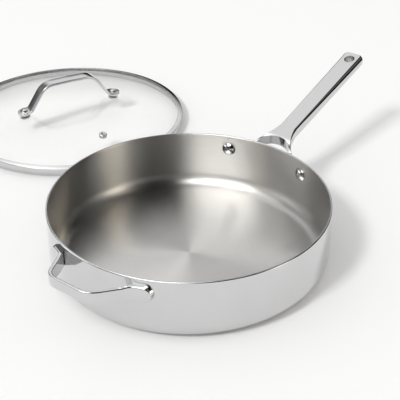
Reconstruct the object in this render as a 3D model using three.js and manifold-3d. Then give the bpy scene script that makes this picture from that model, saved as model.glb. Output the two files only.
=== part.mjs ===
// Saute pan with a forked long handle, a loop helper handle and a glass lid lying beside it.
// Millimetres, +Z up. The origin is the centre of the pan's base and +X runs along the long handle.
import * as THREE from "three";
import { mergeVertices } from "three/addons/utils/BufferGeometryUtils.js";
import Module from "manifold-3d";

const wasm = await Module();
wasm.setup();

// Pan shell: three bonded layers, straight wall, round corner
const mouthRadius = 139.6;
const panHeight = 66.5;
const innerPly = 0.4;
const corePly = 1.4;
const outerPly = 0.4;
const bondGap = 0.05;
const floorCornerRadius = 15.5;

// Rivets of both pan handles
const rivetHalfSpacing = 47.8;
const rivetDrop = 16;
const rivetHeadRadius = 7.3;
const rivetHeadHeight = 3.8;
const rivetShankRadius = 3.5;
const rivetClearance = 0.15;

// What both pan handles share where they meet the wall
const seatGap = 0.1;
const footThickness = 4.5;

// Long handle: a straight rising grip on two arms that end in feet on the wall.
// Rises and drops are measured from the pan's rim.
const crotchGap = 13.5;
const neckLength = 21;
const gripLength = 135;
const crotchRise = 2.5;
const gripRise = 47;
const gripEndWidth = 26;
const gripNeckWidth = 21.3;
const gripThickness = 12.8;
const gripEdgeRadius = 4.5;
const gripBellyRadius = 5.5;
const gripCornerRadius = 3;
const hangingHoleInset = 11;
const hangingHoleRadius = 6;
const crotchHalfWidth = 11;
const crotchThickness = 10.5;
const armOuterY = 34.5;
const armInnerY = 27;
const longFootMargin = 11.2;
const longFootDrop = 6;
const longFootHeight = 20;
const longFootCornerRadius = 8;
const forkOverlap = 0.5;

// Where the curves of the arms turn, measured back from the crotch, out from the grip's
// edge or the crotch's edge, and down from the grip's top or bottom line
const outerBendBack = 10;
const outerBendSpread = 3;
const innerBendBack = 6;
const innerBendSpread = 5.5;
const dropLead = 3;
const topBendBack = 6;
const topBendDrop = 1.7;
const bottomBendBack = 10;
const bottomBendDrop = 3;

// Helper handle: a loop of a band of even thickness that rises from round-ended feet to the front
const helperProjection = 30;
const helperFrontDrop = 2;
const helperFrontHeight = 11.5;
const helperFootDrop = 6.5;
const helperFootHeight = 16;
const helperFootMargin = 13.7;
const helperBarWidth = 4;
const helperTipHalfWidth = 25;
const helperFlare = THREE.MathUtils.degToRad(28);
const helperOuterTrim = 13;
const helperInnerTrim = 10;
const helperRootTrim = 5;

// Lid, lying on the table beside the pan
const lidGap = 53.2;
const lidBearing = THREE.MathUtils.degToRad(64.75);
const lidTurn = THREE.MathUtils.degToRad(-24.4);
const lidFit = 0.8;
const bandOverhang = 0.7;
const bandSheet = 0.8;
const bandEdgeRound = 0.6;
const skirtHeight = 6;
const lipReach = 5.2;
const glassGap = 0.3;
const glassThickness = 3.6;
const domeRise = 16.5;

// Lid handle: a bent strap on two round feet
const lidHandleSpan = 119.6;
const fingerGap = 30.3;
const lidHandleCrown = 0.6;
const strapWidth = 15;
const strapThickness = 3.4;
const lidFootRadius = 8;
const kneeInset = 8;
const shoulderHalfSpan = 32;
const kneeTrim = 3;
const shoulderTrim = 11;

// Fastener stack of each lid handle foot, on the glass surface
const stackGap = 0.1;
const glassSeatGap = 0.2;
const lidShankRadius = 2.5;
const lidShankClearance = 0.2;
const lidHeadRadius = 5;
const lidHeadHeight = 2.2;
const lidTailRadius = 4.4;
const lidTailHeight = 1.2;
const washerRadius = 5.9;
const washerHeight = 1.8;
const backingRadius = 6.5;
const backingHeight = 1.5;
const glassHoleRadius = 4.5;

// Steam vent
const ventReach = 89;
const ventAngle = THREE.MathUtils.degToRad(-85.5);
const ventFlangeRadius = 5;
const ventFlangeHeight = 1.2;
const ventTubeRadius = 3.2;
const ventBoreRadius = 1.5;
const ventClearance = 0.2;
const ventRingRadius = 4.8;
const ventRingHeight = 1;

// Facet counts
const roundSteps = 64;
const smallSteps = 20;
const arcSteps = 5;
const domeSteps = 7;
const cornerSteps = 4;
const flareSteps = 7;
const edgeSteps = 3;

// Sizes worked out from the ones above
const coreOffset = innerPly + bondGap;
const outerOffset = coreOffset + corePly + bondGap;
const shellThickness = outerOffset + outerPly;
const wallRadius = mouthRadius + shellThickness;
const rivetAngle = Math.asin(rivetHalfSpacing / wallRadius);
const rivetHeight = panHeight - rivetDrop;
const handleSeat = wallRadius + seatGap;
const footFace = handleSeat + footThickness;
const crotchX = footFace + crotchGap;
const neckX = crotchX + neckLength;
const handleEnd = neckX + gripLength;
const handleEndHeight = panHeight + gripRise;
const gripSlope = (gripRise - crotchRise) / (handleEnd - crotchX);
const longFootReach = rivetHalfSpacing + longFootMargin;
const longFootTop = panHeight - longFootDrop;
const longFootBottom = longFootTop - longFootHeight;
const helperReach = footFace + helperProjection;
const helperFrontTop = panHeight - helperFrontDrop;
const helperFootTop = panHeight - helperFootDrop;
const helperFootBottom = helperFootTop - helperFootHeight;
const helperFootReach = rivetHalfSpacing + helperFootMargin;
const bandRadius = wallRadius + bandOverhang;
const lidDistance = wallRadius + lidGap + bandRadius;
const facetCos = Math.cos(Math.PI / roundSteps);
const glassRadius = bandRadius - bandSheet - glassGap;
const domeRadius = (glassRadius ** 2 + domeRise ** 2) / (2 * domeRise);
const glassEdgeCos = Math.sqrt(1 - (glassRadius / domeRadius) ** 2);
const glassEdgeBottom = skirtHeight + bandSheet + glassGap;
const glassEdgeTop = glassEdgeBottom + glassThickness / glassEdgeCos;
const domeCentre = glassEdgeTop + domeRise - domeRadius;
const lidHandleTop = glassEdgeTop + domeRise + fingerGap + strapThickness;

const polishedSteel = { color: 0xd6d6d3, roughness: 0.12, metalness: 1 };
const brushedSteel = { color: 0xaaa7a1, roughness: 0.36, metalness: 1 };
const aluminium = { color: 0xc4c5c7, roughness: 0.45, metalness: 1 };
const clearGlass = { color: 0xf3f6f5, roughness: 0.04, metalness: 0, transparent: true, opacity: 0.25 };
const greySilicone = { color: 0x8d8f8e, roughness: 0.7, metalness: 0 };

const point = (x, y) => new THREE.Vector2(x, y);

function arc(x, y, radius, from, to, steps = arcSteps) {
  const points = [];
  for (let i = 0; i <= steps; i++) {
    const angle = from + ((to - from) * i) / steps;
    points.push(point(x + radius * Math.cos(angle), y + radius * Math.sin(angle)));
  }
  return points;
}

function bend(start, control, end, steps = arcSteps) {
  return new THREE.QuadraticBezierCurve(start, control, end).getPoints(steps);
}

// Rounds the corner between two neighbours by a curve that starts a trim length before it.
function corner(before, at, after, trim) {
  const start = at.clone().add(before.clone().sub(at).setLength(trim));
  const end = at.clone().add(after.clone().sub(at).setLength(trim));
  return bend(start, at, end, cornerSteps);
}

// Closes a half outline by its mirror image across the first axis.
function mirrored(half) {
  const other = half.filter((p) => p.y > 0).map((p) => point(p.x, -p.y));
  return half.concat(other.reverse());
}

// Turns a profile of (radius, height) points about +Z.
function turn(profile, steps = smallSteps) {
  return new THREE.LatheGeometry(profile, steps).rotateX(Math.PI / 2);
}

function ring(innerRadius, outerRadius, bottom, top) {
  const profile = [
    point(innerRadius, bottom),
    point(outerRadius, bottom),
    point(outerRadius, top),
    point(innerRadius, top),
    point(innerRadius, bottom),
  ];
  return turn(profile);
}

function rod(radius, bottom, top) {
  return turn([point(0, bottom), point(radius, bottom), point(radius, top), point(0, top)]);
}

function extrude(outline, depth, holes = []) {
  const shape = new THREE.Shape(outline);
  shape.holes = holes.map((hole) => new THREE.Path(hole));
  return new THREE.ExtrudeGeometry(shape, { depth, bevelEnabled: false });
}

// An outline of (x, z) points, as deep as given along Y and centred on it.
function sideExtrude(outline, depth) {
  return extrude(outline, depth).rotateX(Math.PI / 2).translate(0, depth / 2, 0);
}

// An outline of (y, z) points, running along X from the origin.
function frontExtrude(outline, depth) {
  return extrude(outline, depth).rotateX(Math.PI / 2).rotateZ(Math.PI / 2);
}

function solid(geometry) {
  geometry.deleteAttribute("normal");
  geometry.deleteAttribute("uv");
  const merged = mergeVertices(geometry);
  const corners = merged.index.array;
  const triangles = [];
  for (let i = 0; i < corners.length; i += 3) {
    const [a, b, c] = corners.slice(i, i + 3);
    if (a !== b && b !== c && c !== a) triangles.push(a, b, c);
  }
  const mesh = new wasm.Mesh({
    numProp: 3,
    vertProperties: merged.attributes.position.array,
    triVerts: new Uint32Array(triangles),
  });
  return new wasm.Manifold(mesh);
}

function cut(body, tools) {
  return tools.reduce((left, tool) => left.subtract(solid(tool)), body);
}

function mesh(name, shape, look) {
  let geometry = shape;
  if (!shape.isBufferGeometry) {
    const made = shape.getMesh();
    geometry = new THREE.BufferGeometry();
    geometry.setAttribute("position", new THREE.BufferAttribute(made.vertProperties, 3));
    geometry.setIndex(new THREE.BufferAttribute(made.triVerts, 1));
    geometry.computeVertexNormals();
  }
  const node = new THREE.Mesh(geometry, new THREE.MeshStandardMaterial(look));
  node.name = name;
  return node;
}

// Points a piece that was made along +Z out from the pan's axis, at the rivets' height.
function pointOut(geometry, azimuth) {
  return geometry.rotateY(Math.PI / 2).rotateZ(azimuth).translate(0, 0, rivetHeight);
}

const rivetPlaces = {
  long_handle_rivet_left: rivetAngle,
  long_handle_rivet_right: -rivetAngle,
  helper_handle_rivet_left: Math.PI - rivetAngle,
  helper_handle_rivet_right: Math.PI + rivetAngle,
};

function rivetHole(azimuth) {
  const hole = rod(rivetShankRadius + rivetClearance, mouthRadius / 2, footFace + rivetClearance);
  return pointOut(hole, azimuth);
}

// One layer of the shell, between two distances out from the cooking surface.
function ply(inside, outside) {
  const centreRadius = mouthRadius - floorCornerRadius;
  const centreHeight = shellThickness + floorCornerRadius;
  const down = -Math.PI / 2;
  const profile = [
    point(0, shellThickness - outside),
    ...arc(centreRadius, centreHeight, floorCornerRadius + outside, down, 0),
    point(mouthRadius + outside, panHeight),
    point(mouthRadius + inside, panHeight),
    ...arc(centreRadius, centreHeight, floorCornerRadius + inside, 0, down),
    point(0, shellThickness - inside),
  ];
  const holes = Object.values(rivetPlaces).map(rivetHole);
  return cut(solid(turn(profile, roundSteps)), holes);
}

// A domed head on the cooking surface and a shank that ends flush with the handle's foot.
function panRivet(azimuth) {
  const seat = Math.sqrt(mouthRadius ** 2 - rivetHeadRadius ** 2) * facetCos - seatGap;
  const capRadius = (rivetHeadRadius ** 2 + rivetHeadHeight ** 2) / (2 * rivetHeadHeight);
  const capCentre = seat - rivetHeadHeight + capRadius;
  const rim = -Math.asin((capCentre - seat) / capRadius);
  const cap = arc(0, capCentre, capRadius, -Math.PI / 2, rim);
  const profile = [
    ...cap,
    point(rivetShankRadius, seat),
    point(rivetShankRadius, footFace - seatGap),
    point(0, footFace - seatGap),
  ];
  return pointOut(turn(profile), azimuth);
}

// The height band, as (y, z) points, that gives a handle's feet their round ends.
function footFront(reach, bottom, top, radius) {
  const half = [
    ...arc(reach - radius, bottom + radius, radius, -Math.PI / 2, 0),
    ...arc(reach - radius, top - radius, radius, 0, Math.PI / 2),
    point(reach - 2 * radius, top),
    point(reach - 2 * radius, 2 * handleEndHeight),
  ];
  return half.concat(half.map((p) => point(-p.x, p.y)).reverse());
}

// A foot's plan: out along its outer face to the end, and back along the wall.
function footPlan(outerY, innerY, reach) {
  const angleAt = (y, radius) => Math.asin(y / radius);
  const end = angleAt(reach, handleSeat);
  return [
    ...arc(0, 0, footFace, angleAt(outerY, footFace), end),
    ...arc(0, 0, handleSeat, end, angleAt(innerY, handleSeat)),
  ];
}

// Plan of half the long handle, from the middle of its end to the middle of the crotch.
function longHandlePlan() {
  const r = gripCornerRadius;
  const foot = footPlan(armOuterY, armInnerY, longFootReach);
  const neck = point(neckX, gripNeckWidth / 2);
  const outerBend = point(crotchX - outerBendBack, gripNeckWidth / 2 + outerBendSpread);
  const innerBend = point(crotchX - innerBendBack, crotchHalfWidth + innerBendSpread);
  const crotch = point(crotchX, crotchHalfWidth);
  return [
    ...arc(handleEnd - r, gripEndWidth / 2 - r, r, 0, Math.PI / 2),
    ...bend(neck, outerBend, foot[0], flareSteps).slice(0, -1),
    ...foot.slice(0, -1),
    ...bend(foot.at(-1), innerBend, crotch, flareSteps),
  ];
}

function gripTop(x) {
  return handleEndHeight - gripSlope * (handleEnd - x);
}

// Side view: a straight rising grip, and arms that drop from the crotch to the feet.
function longHandleSide() {
  const inside = mouthRadius / 2;
  const crotchTop = gripTop(crotchX);
  const crotchBottom = crotchTop - crotchThickness;
  const dropX = crotchX + dropLead;
  const topBend = point(crotchX - topBendBack, crotchTop - topBendDrop);
  const bottomBend = point(crotchX - bottomBendBack, crotchBottom - bottomBendDrop);
  return [
    point(handleEnd, gripTop(handleEnd)),
    ...bend(point(dropX, gripTop(dropX)), topBend, point(footFace, longFootTop)),
    point(inside, longFootTop),
    point(inside, longFootBottom),
    ...bend(point(footFace, longFootBottom), bottomBend, point(crotchX, crotchBottom)),
    point(neckX, gripTop(neckX) - gripThickness),
    point(handleEnd, gripTop(handleEnd) - gripThickness),
  ];
}

// Section of the grip, as (y, height above its top face) points: flat top, rounded edges and belly.
function gripSection() {
  const half = gripEndWidth / 2;
  const depth = gripThickness / Math.hypot(1, gripSlope);
  const belly = arc(half - gripBellyRadius, gripBellyRadius - depth, gripBellyRadius, -Math.PI / 2, 0);
  const edge = arc(half - gripEdgeRadius, -gripEdgeRadius, gripEdgeRadius, 0, Math.PI / 2);
  const side = belly.concat(edge);
  return side.concat(side.map((p) => point(-p.x, p.y)).reverse());
}

function longHandle() {
  const holeX = handleEnd - hangingHoleInset;
  const hole = arc(holeX, 0, hangingHoleRadius, 0, 2 * Math.PI, smallSteps).slice(0, -1);
  const plan = solid(extrude(mirrored(longHandlePlan()), 2 * handleEndHeight, [hole]));
  const side = solid(sideExtrude(longHandleSide(), 2 * footFace));
  const grip = frontExtrude(gripSection(), 2 * gripLength);
  grip.rotateY(-Math.atan(gripSlope)).translate(neckX, 0, gripTop(neckX));
  const feet = footFront(longFootReach, longFootBottom, longFootTop, longFootCornerRadius);
  const fork = frontExtrude(feet, neckX + forkOverlap);
  const allowed = solid(grip).add(solid(fork));
  const body = plan.intersect(side).intersect(allowed);
  return cut(body, [rivetHole(rivetAngle), rivetHole(-rivetAngle)]);
}

// Where a line from a point meets a circle about the pan's axis.
function meetCircle(start, along, radius) {
  const back = -start.dot(along);
  const run = back - Math.sqrt(back ** 2 - start.lengthSq() + radius ** 2);
  return start.clone().addScaledVector(along, run);
}

// Plan of half the helper handle: its outer edge from the middle of the front to a foot,
// and its inner edge, a band's width away, back to the middle.
function helperPlan() {
  const innerReach = helperReach - helperBarWidth;
  const flare = point(-Math.cos(helperFlare), Math.sin(helperFlare));
  const inward = point(-Math.sin(helperFlare), -Math.cos(helperFlare));
  const tip = point(helperReach, helperTipHalfWidth);
  const innerTip = tip.clone().addScaledVector(inward, helperBarWidth);
  innerTip.addScaledVector(flare, (innerTip.x - innerReach) / Math.cos(helperFlare));
  const root = meetCircle(tip, flare, footFace);
  const innerRoot = meetCircle(innerTip, flare, handleSeat);
  const foot = footPlan(root.y + helperRootTrim, innerRoot.y, helperFootReach);
  const rootStart = root.clone().addScaledVector(flare, -helperRootTrim);
  return [
    point(helperReach, 0),
    ...corner(point(helperReach, 0), tip, root, helperOuterTrim),
    ...bend(rootStart, root, foot[0], cornerSteps).slice(0, -1),
    ...foot,
    ...corner(innerRoot, innerTip, point(innerReach, 0), helperInnerTrim),
    point(innerReach, 0),
  ];
}

// Side view: level over the feet, and rising from their face to the front.
function helperSide() {
  const inside = mouthRadius / 2;
  return [
    point(inside, helperFootBottom),
    point(footFace, helperFootBottom),
    point(helperReach, helperFrontTop - helperFrontHeight),
    point(helperReach, helperFrontTop),
    point(footFace, helperFootTop),
    point(inside, helperFootTop),
  ];
}

function helperHandle() {
  const plan = solid(extrude(mirrored(helperPlan()), 2 * panHeight));
  const side = solid(sideExtrude(helperSide(), 2 * footFace));
  const feet = footFront(helperFootReach, helperFootBottom, helperFootTop, helperFootHeight / 2);
  const front = solid(frontExtrude(feet, 2 * helperReach));
  const body = plan.intersect(side).intersect(front);
  return cut(body, [rivetHole(rivetAngle), rivetHole(-rivetAngle)]);
}

// Height of the glass's upper face at a distance from the lid's axis, and its lean there.
function domeHeight(reach) {
  return domeCentre + Math.sqrt(domeRadius ** 2 - reach ** 2);
}

function domeLean(reach) {
  return Math.asin(reach / domeRadius);
}

// A turned frame whose origin lies on the glass and whose +Z stands square to it.
function glassSeat(x, y) {
  const reach = Math.hypot(x, y);
  const lean = domeLean(reach);
  const seat = new THREE.Group();
  seat.position.set(x, y, domeHeight(reach));
  seat.rotation.set((-y / reach) * lean, (x / reach) * lean, 0);
  seat.updateMatrix();
  return seat;
}

function lidGlass(seats) {
  const top = Math.PI / 2;
  const under = domeRadius - glassThickness;
  const lower = arc(0, domeCentre, under, top, top - Math.asin(glassRadius / under), domeSteps);
  const upper = arc(0, domeCentre, domeRadius, top - domeLean(glassRadius), top, domeSteps);
  const profile = lower.concat(upper);
  const holes = seats.map(({ seat, radius }) => {
    const hole = rod(radius, -2 * glassThickness, glassThickness);
    return hole.applyMatrix4(seat.matrix);
  });
  return cut(solid(turn(profile, roundSteps)), holes);
}

// Skirt for the pan's mouth, flange that lies on the rim, and channel that holds the glass edge.
function lidRimBand() {
  const skirtOuter = mouthRadius - lidFit;
  const skirtInner = skirtOuter - bandSheet;
  const channel = bandRadius - bandSheet;
  const lip = channel - lipReach;
  const lipUnder = domeHeight(lip) + glassGap;
  const edgeUnder = glassEdgeTop + glassGap / 2;
  const edgeTop = edgeUnder + bandSheet;
  const r = bandEdgeRound;
  const profile = [
    point(skirtInner, 0),
    point(skirtOuter, 0),
    point(skirtOuter, skirtHeight),
    ...arc(bandRadius - r, skirtHeight + r, r, -Math.PI / 2, 0, edgeSteps),
    ...arc(bandRadius - r, edgeTop - r, r, 0, Math.PI / 2, edgeSteps),
    point(lip, lipUnder + bandSheet),
    point(lip, lipUnder),
    point(channel, edgeUnder),
    point(channel, skirtHeight + bandSheet),
    point(skirtInner, skirtHeight + bandSheet),
    point(skirtInner, 0),
  ];
  return turn(profile, roundSteps);
}

// Heights in the fastener stacks, measured from the glass's upper face, and their bores.
const backingTop = -glassThickness - glassSeatGap;
const backingBottom = backingTop - backingHeight;
const tailTop = backingBottom - stackGap;
const washerTop = glassSeatGap + washerHeight;
const footBottom = washerTop + stackGap;
const footTop = footBottom + strapThickness;
const headBottom = footTop + stackGap;
const lidBoreRadius = lidShankRadius + lidShankClearance;
const ventHoleRadius = ventTubeRadius + ventClearance;

function lidRivet() {
  const capRadius = (lidHeadRadius ** 2 + lidHeadHeight ** 2) / (2 * lidHeadHeight);
  const capCentre = headBottom + lidHeadHeight - capRadius;
  const rim = Math.asin((headBottom - capCentre) / capRadius);
  const profile = [
    point(0, tailTop - lidTailHeight),
    point(lidTailRadius - lidTailHeight / 2, tailTop - lidTailHeight),
    point(lidTailRadius, tailTop),
    point(lidShankRadius, tailTop),
    point(lidShankRadius, headBottom),
    ...arc(0, capCentre, capRadius, rim, Math.PI / 2),
  ];
  return turn(profile);
}

// Middle line of the strap over half the handle, as (along, height) points from the crown to a foot.
function strapHalfLine() {
  const reach = lidHandleSpan / 2;
  const lean = domeLean(reach);
  const along = point(Math.cos(lean), -Math.sin(lean));
  const out = point(Math.sin(lean), Math.cos(lean));
  const foot = point(reach, domeHeight(reach)).addScaledVector(out, (footBottom + footTop) / 2);
  const knee = foot.clone().addScaledVector(along, -kneeInset);
  const crown = point(0, lidHandleTop - strapThickness / 2);
  const shoulder = point(shoulderHalfSpan, crown.y - lidHandleCrown);
  return [
    crown,
    ...corner(crown, shoulder, knee, shoulderTrim),
    ...corner(shoulder, knee, foot, kneeTrim),
    foot,
  ];
}

// Both faces of a strip of even thickness along a line of points.
function strip(line, thickness) {
  const offset = (side) =>
    line.map((at, i) => {
      const before = line[Math.max(i - 1, 0)];
      const after = line[Math.min(i + 1, line.length - 1)];
      const run = after.clone().sub(before).normalize();
      return at.clone().add(point(-run.y, run.x).multiplyScalar((side * thickness) / 2));
    });
  return offset(-1).concat(offset(1).reverse());
}

function lidHandle(footSeats) {
  const half = strapHalfLine();
  const left = half.slice(1).map((p) => point(-p.x, p.y)).reverse();
  let body = solid(sideExtrude(strip(left.concat(half), strapThickness), strapWidth));
  for (const seat of footSeats) {
    body = body.add(solid(rod(lidFootRadius, footBottom, footTop).applyMatrix4(seat.matrix)));
  }
  const bores = footSeats.map((seat) => {
    const bore = rod(lidBoreRadius, -washerTop, 2 * footTop);
    return bore.applyMatrix4(seat.matrix);
  });
  return cut(body, bores);
}

function ventEyelet() {
  const tubeBottom = backingTop - ventRingHeight;
  const profile = [
    point(ventBoreRadius, tubeBottom),
    point(ventTubeRadius, tubeBottom),
    point(ventTubeRadius, glassSeatGap),
    point(ventFlangeRadius, glassSeatGap),
    point(ventFlangeRadius - ventFlangeHeight / 2, glassSeatGap + ventFlangeHeight),
    point(ventBoreRadius, glassSeatGap + ventFlangeHeight),
    point(ventBoreRadius, tubeBottom),
  ];
  return turn(profile);
}

const pan = new THREE.Group();
pan.add(mesh("pan_outer_ply", ply(outerOffset, shellThickness), polishedSteel));
pan.add(mesh("pan_core_ply", ply(coreOffset, coreOffset + corePly), aluminium));
pan.add(mesh("pan_inner_ply", ply(0, innerPly), brushedSteel));
pan.add(mesh("long_handle", longHandle(), polishedSteel));
for (const [name, azimuth] of Object.entries(rivetPlaces)) {
  pan.add(mesh(name, panRivet(azimuth), polishedSteel));
}
const helper = mesh("helper_handle", helperHandle(), polishedSteel);
helper.rotation.z = Math.PI;
pan.add(helper);

const lid = new THREE.Group();
lid.position.set(lidDistance * Math.cos(lidBearing), lidDistance * Math.sin(lidBearing), 0);
lid.rotation.z = lidTurn;
const footSeats = { left: glassSeat(-lidHandleSpan / 2, 0), right: glassSeat(lidHandleSpan / 2, 0) };
const ventSeat = glassSeat(ventReach * Math.cos(ventAngle), ventReach * Math.sin(ventAngle));
const drilled = Object.values(footSeats).map((seat) => ({ seat, radius: glassHoleRadius }));
drilled.push({ seat: ventSeat, radius: ventHoleRadius });
lid.add(mesh("lid_glass", lidGlass(drilled), clearGlass));
lid.add(mesh("lid_rim_band", lidRimBand(), polishedSteel));
lid.add(mesh("lid_handle", lidHandle(Object.values(footSeats)), polishedSteel));
for (const [side, seat] of Object.entries(footSeats)) {
  const bushRadius = glassHoleRadius - lidShankClearance;
  const washer = ring(lidBoreRadius, washerRadius, glassSeatGap, washerTop);
  const bush = ring(lidBoreRadius, bushRadius, -glassThickness, 0);
  const backing = ring(lidBoreRadius, backingRadius, backingBottom, backingTop);
  seat.add(mesh(`lid_handle_rivet_${side}`, lidRivet(), polishedSteel));
  seat.add(mesh(`lid_handle_washer_${side}`, washer, polishedSteel));
  seat.add(mesh(`lid_glass_bush_${side}`, bush, greySilicone));
  seat.add(mesh(`lid_backing_washer_${side}`, backing, polishedSteel));
  lid.add(seat);
}
const ventRing = ring(ventHoleRadius, ventRingRadius, backingTop - ventRingHeight, backingTop);
ventSeat.add(mesh("vent_eyelet", ventEyelet(), polishedSteel));
ventSeat.add(mesh("vent_backing_ring", ventRing, polishedSteel));
lid.add(ventSeat);

const sautePan = new THREE.Group();
sautePan.add(pan, lid);

export default sautePan;
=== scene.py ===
# Looks of the saute pan with lid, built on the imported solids. Metres, +Z up, the solids' own frame.
import math

import bmesh
import bpy
from mathutils import Matrix, Vector


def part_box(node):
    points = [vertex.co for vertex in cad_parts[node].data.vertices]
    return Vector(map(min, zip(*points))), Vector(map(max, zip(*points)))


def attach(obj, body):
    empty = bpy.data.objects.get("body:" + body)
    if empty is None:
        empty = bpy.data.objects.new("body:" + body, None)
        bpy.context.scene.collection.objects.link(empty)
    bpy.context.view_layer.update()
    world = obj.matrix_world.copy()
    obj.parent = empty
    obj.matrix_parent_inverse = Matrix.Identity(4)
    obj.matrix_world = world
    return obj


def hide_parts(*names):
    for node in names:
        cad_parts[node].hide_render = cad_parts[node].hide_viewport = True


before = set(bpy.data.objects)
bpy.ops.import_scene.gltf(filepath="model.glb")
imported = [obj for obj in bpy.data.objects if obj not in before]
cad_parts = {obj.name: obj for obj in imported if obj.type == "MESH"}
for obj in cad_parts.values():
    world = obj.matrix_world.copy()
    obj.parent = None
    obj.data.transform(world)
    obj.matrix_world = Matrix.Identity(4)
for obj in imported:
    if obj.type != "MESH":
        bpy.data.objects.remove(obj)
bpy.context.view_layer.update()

scene = bpy.context.scene

# Shapes below are in millimetres until a piece is made
MM = 0.001

# Pan shell
mouth_radius = 139.6
pan_height = 66.5
inner_ply = 0.4
core_ply = 1.4
bond_gap = 0.05
shell_thickness = 2.3
floor_corner_radius = 15.5
wall_radius = mouth_radius + shell_thickness
rim_crown = 0.9

# Rivets of the pan's handles
rivet_half_spacing = 47.8
rivet_height = 50.5
rivet_head_radius = 7.3
rivet_head_height = 3.8
rivet_shank_radius = 3.5
rivet_edge_height = 0.7
rivet_edge_round = 0.4

# Where both pan handles meet the wall
seat_gap = 0.1
foot_thickness = 4.5
handle_seat = wall_radius + seat_gap
foot_face = handle_seat + foot_thickness

# Long handle
crotch_x = 160
neck_x = 181
handle_end = 316
handle_end_height = 113.5
grip_slope = 44.5 / 156
grip_end_width = 26
grip_neck_width = 21.3
grip_thickness = 12.8
grip_corner_radius = 3
hole_x = 305
hole_radius = 6
bore_bottom = 60
bore_top = 140
crotch_thickness = 10.5
arm_outer_y = 34.5
arm_inner_y = 27
long_foot_reach = 59
long_foot_top = 60.5
long_foot_bottom = 40.5
long_foot_corner_radius = 8
grip_edge_round = 4.5
grip_belly_round = 5.5
arm_edge_round = 0.8
long_crease_round = 0.6

# Where the curves of the arms turn, measured back from the crotch, out from the handle's middle or
# the grip's edge, and down from the grip's lower line
outer_bend_back = 10
outer_bend_spread = 3
inner_bend_back = 9
inner_bend_y = 19.5
crotch_bend_y = 14
drop_x = crotch_x + 3
top_bend_x = crotch_x - 6
bottom_bend_back = 10
bottom_bend_drop = 3

# Share of an arm's length after which its edges grow rounder towards the grip
edge_grows_after = 0.6
belly_grows_after = 0.5

# Helper handle: a band of even thickness that rises from its feet to the front
helper_reach = 176.5
helper_front_top = 64.5
helper_front_height = 11.5
helper_foot_top = 60
helper_foot_height = 16
helper_foot_reach = 61.5
helper_bar_width = 4
helper_tip_half_width = 25
helper_flare = math.radians(28)
helper_outer_trim = 13
helper_inner_trim = 10
helper_root_trim = 5
helper_inner_root_trim = 0.5
helper_edge_round = 1.5
helper_crease_round = 0.8
helper_foot_radius = helper_foot_height / 2
helper_foot_middle = helper_foot_reach - helper_foot_radius

# Lid
lid_turn = math.radians(-24.4)
band_radius = 142.6
band_sheet = 0.8
band_edge_round = 0.9
skirt_outer = 138.8
skirt_height = 6
lip_reach = 5.2
glass_gap = 0.3
glass_thickness = 3.6
glass_edge_round = 0.8
glass_radius = band_radius - band_sheet - glass_gap
dome_rise = 16.5
dome_radius = (glass_radius ** 2 + dome_rise ** 2) / (2 * dome_rise)
glass_edge_bottom = skirt_height + band_sheet + glass_gap
glass_edge_cos = math.sqrt(1 - (glass_radius / dome_radius) ** 2)
glass_edge_top = glass_edge_bottom + glass_thickness / glass_edge_cos
dome_centre = glass_edge_top + dome_rise - dome_radius

# Lid handle and its fasteners, heights from the glass's upper face
lid_handle_span = 119.6
finger_gap = 30.3
lid_handle_crown = 0.6
strap_width = 15
strap_thickness = 3.4
strap_edge_round = 0.9
lid_foot_radius = 8
lid_foot_blend = 5
knee_inset = 8
shoulder_half_span = 32
knee_trim = 3
shoulder_trim = 11
glass_seat_gap = 0.2
stack_gap = 0.1
washer_radius = 5.9
washer_height = 1.8
washer_bore = 2.7
washer_edge_round = 0.5
backing_height = 1.5
lid_shank_radius = 2.5
lid_head_radius = 5
lid_head_height = 2.2
lid_head_edge_height = 0.4
lid_rivet_edge_round = 0.3
lid_tail_radius = 4.4
lid_tail_height = 1.2
backing_bottom = -glass_thickness - glass_seat_gap - backing_height
foot_bottom = glass_seat_gap + washer_height + stack_gap
head_bottom = foot_bottom + strap_thickness + stack_gap
lid_handle_top = glass_edge_top + dome_rise + finger_gap + strap_thickness

# Steam vent
vent_reach = 89
vent_angle = math.radians(-85.5)
vent_flange_radius = 5
vent_flange_height = 1.2
vent_tube_radius = 3.2
vent_bore_radius = 1.5
vent_ring_height = 1

# Fineness of the turned and swept meshes
TURN_STEPS = 192
SMALL_STEPS = 48
CORNER_STEPS = 20
RIM_STEPS = 6
DOME_STEPS = 40
CAP_STEPS = 12
SMALL_CAP_STEPS = 10
TRIM_STEPS = 12
FACE_STEPS = 10
EDGE_STEPS = 6
FOOT_STEPS = 14
ARM_STEPS = 30
GRIP_STEPS = 24
LOOP_FOOT_STEPS = 12
LOOP_STEPS = 80
STRAP_STEPS = 70
STRAP_EDGE_STEPS = 5
TIP_STEPS = 16
TIP_TURN = math.radians(89)
SHARP_ANGLE = math.radians(38)
CREASE_ANGLE = math.radians(50)

# Points nearer than this are one
TOUCH = 0.001

# Lengths that differ by less are equal
ROUNDING = 1e-9

# Widest rounding of an edge, as a share of a handle's width and of the strap's half width
HANDLE_ROUND_SHARE = 0.49
STRAP_ROUND_SHARE = 0.9


# Outlines
def arc(x, y, radius, start, end, steps=8):
    """Points on an arc between two angles in degrees."""
    angles = [math.radians(start + (end - start) * i / steps) for i in range(steps + 1)]
    return [(x + radius * math.cos(a), y + radius * math.sin(a)) for a in angles]


def bend(start, control, end, steps=8):
    """Points on a quadratic curve."""
    points = []
    for i in range(steps + 1):
        t = i / steps
        points.append(start * (1 - t) ** 2 + control * 2 * t * (1 - t) + end * t ** 2)
    return points


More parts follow.
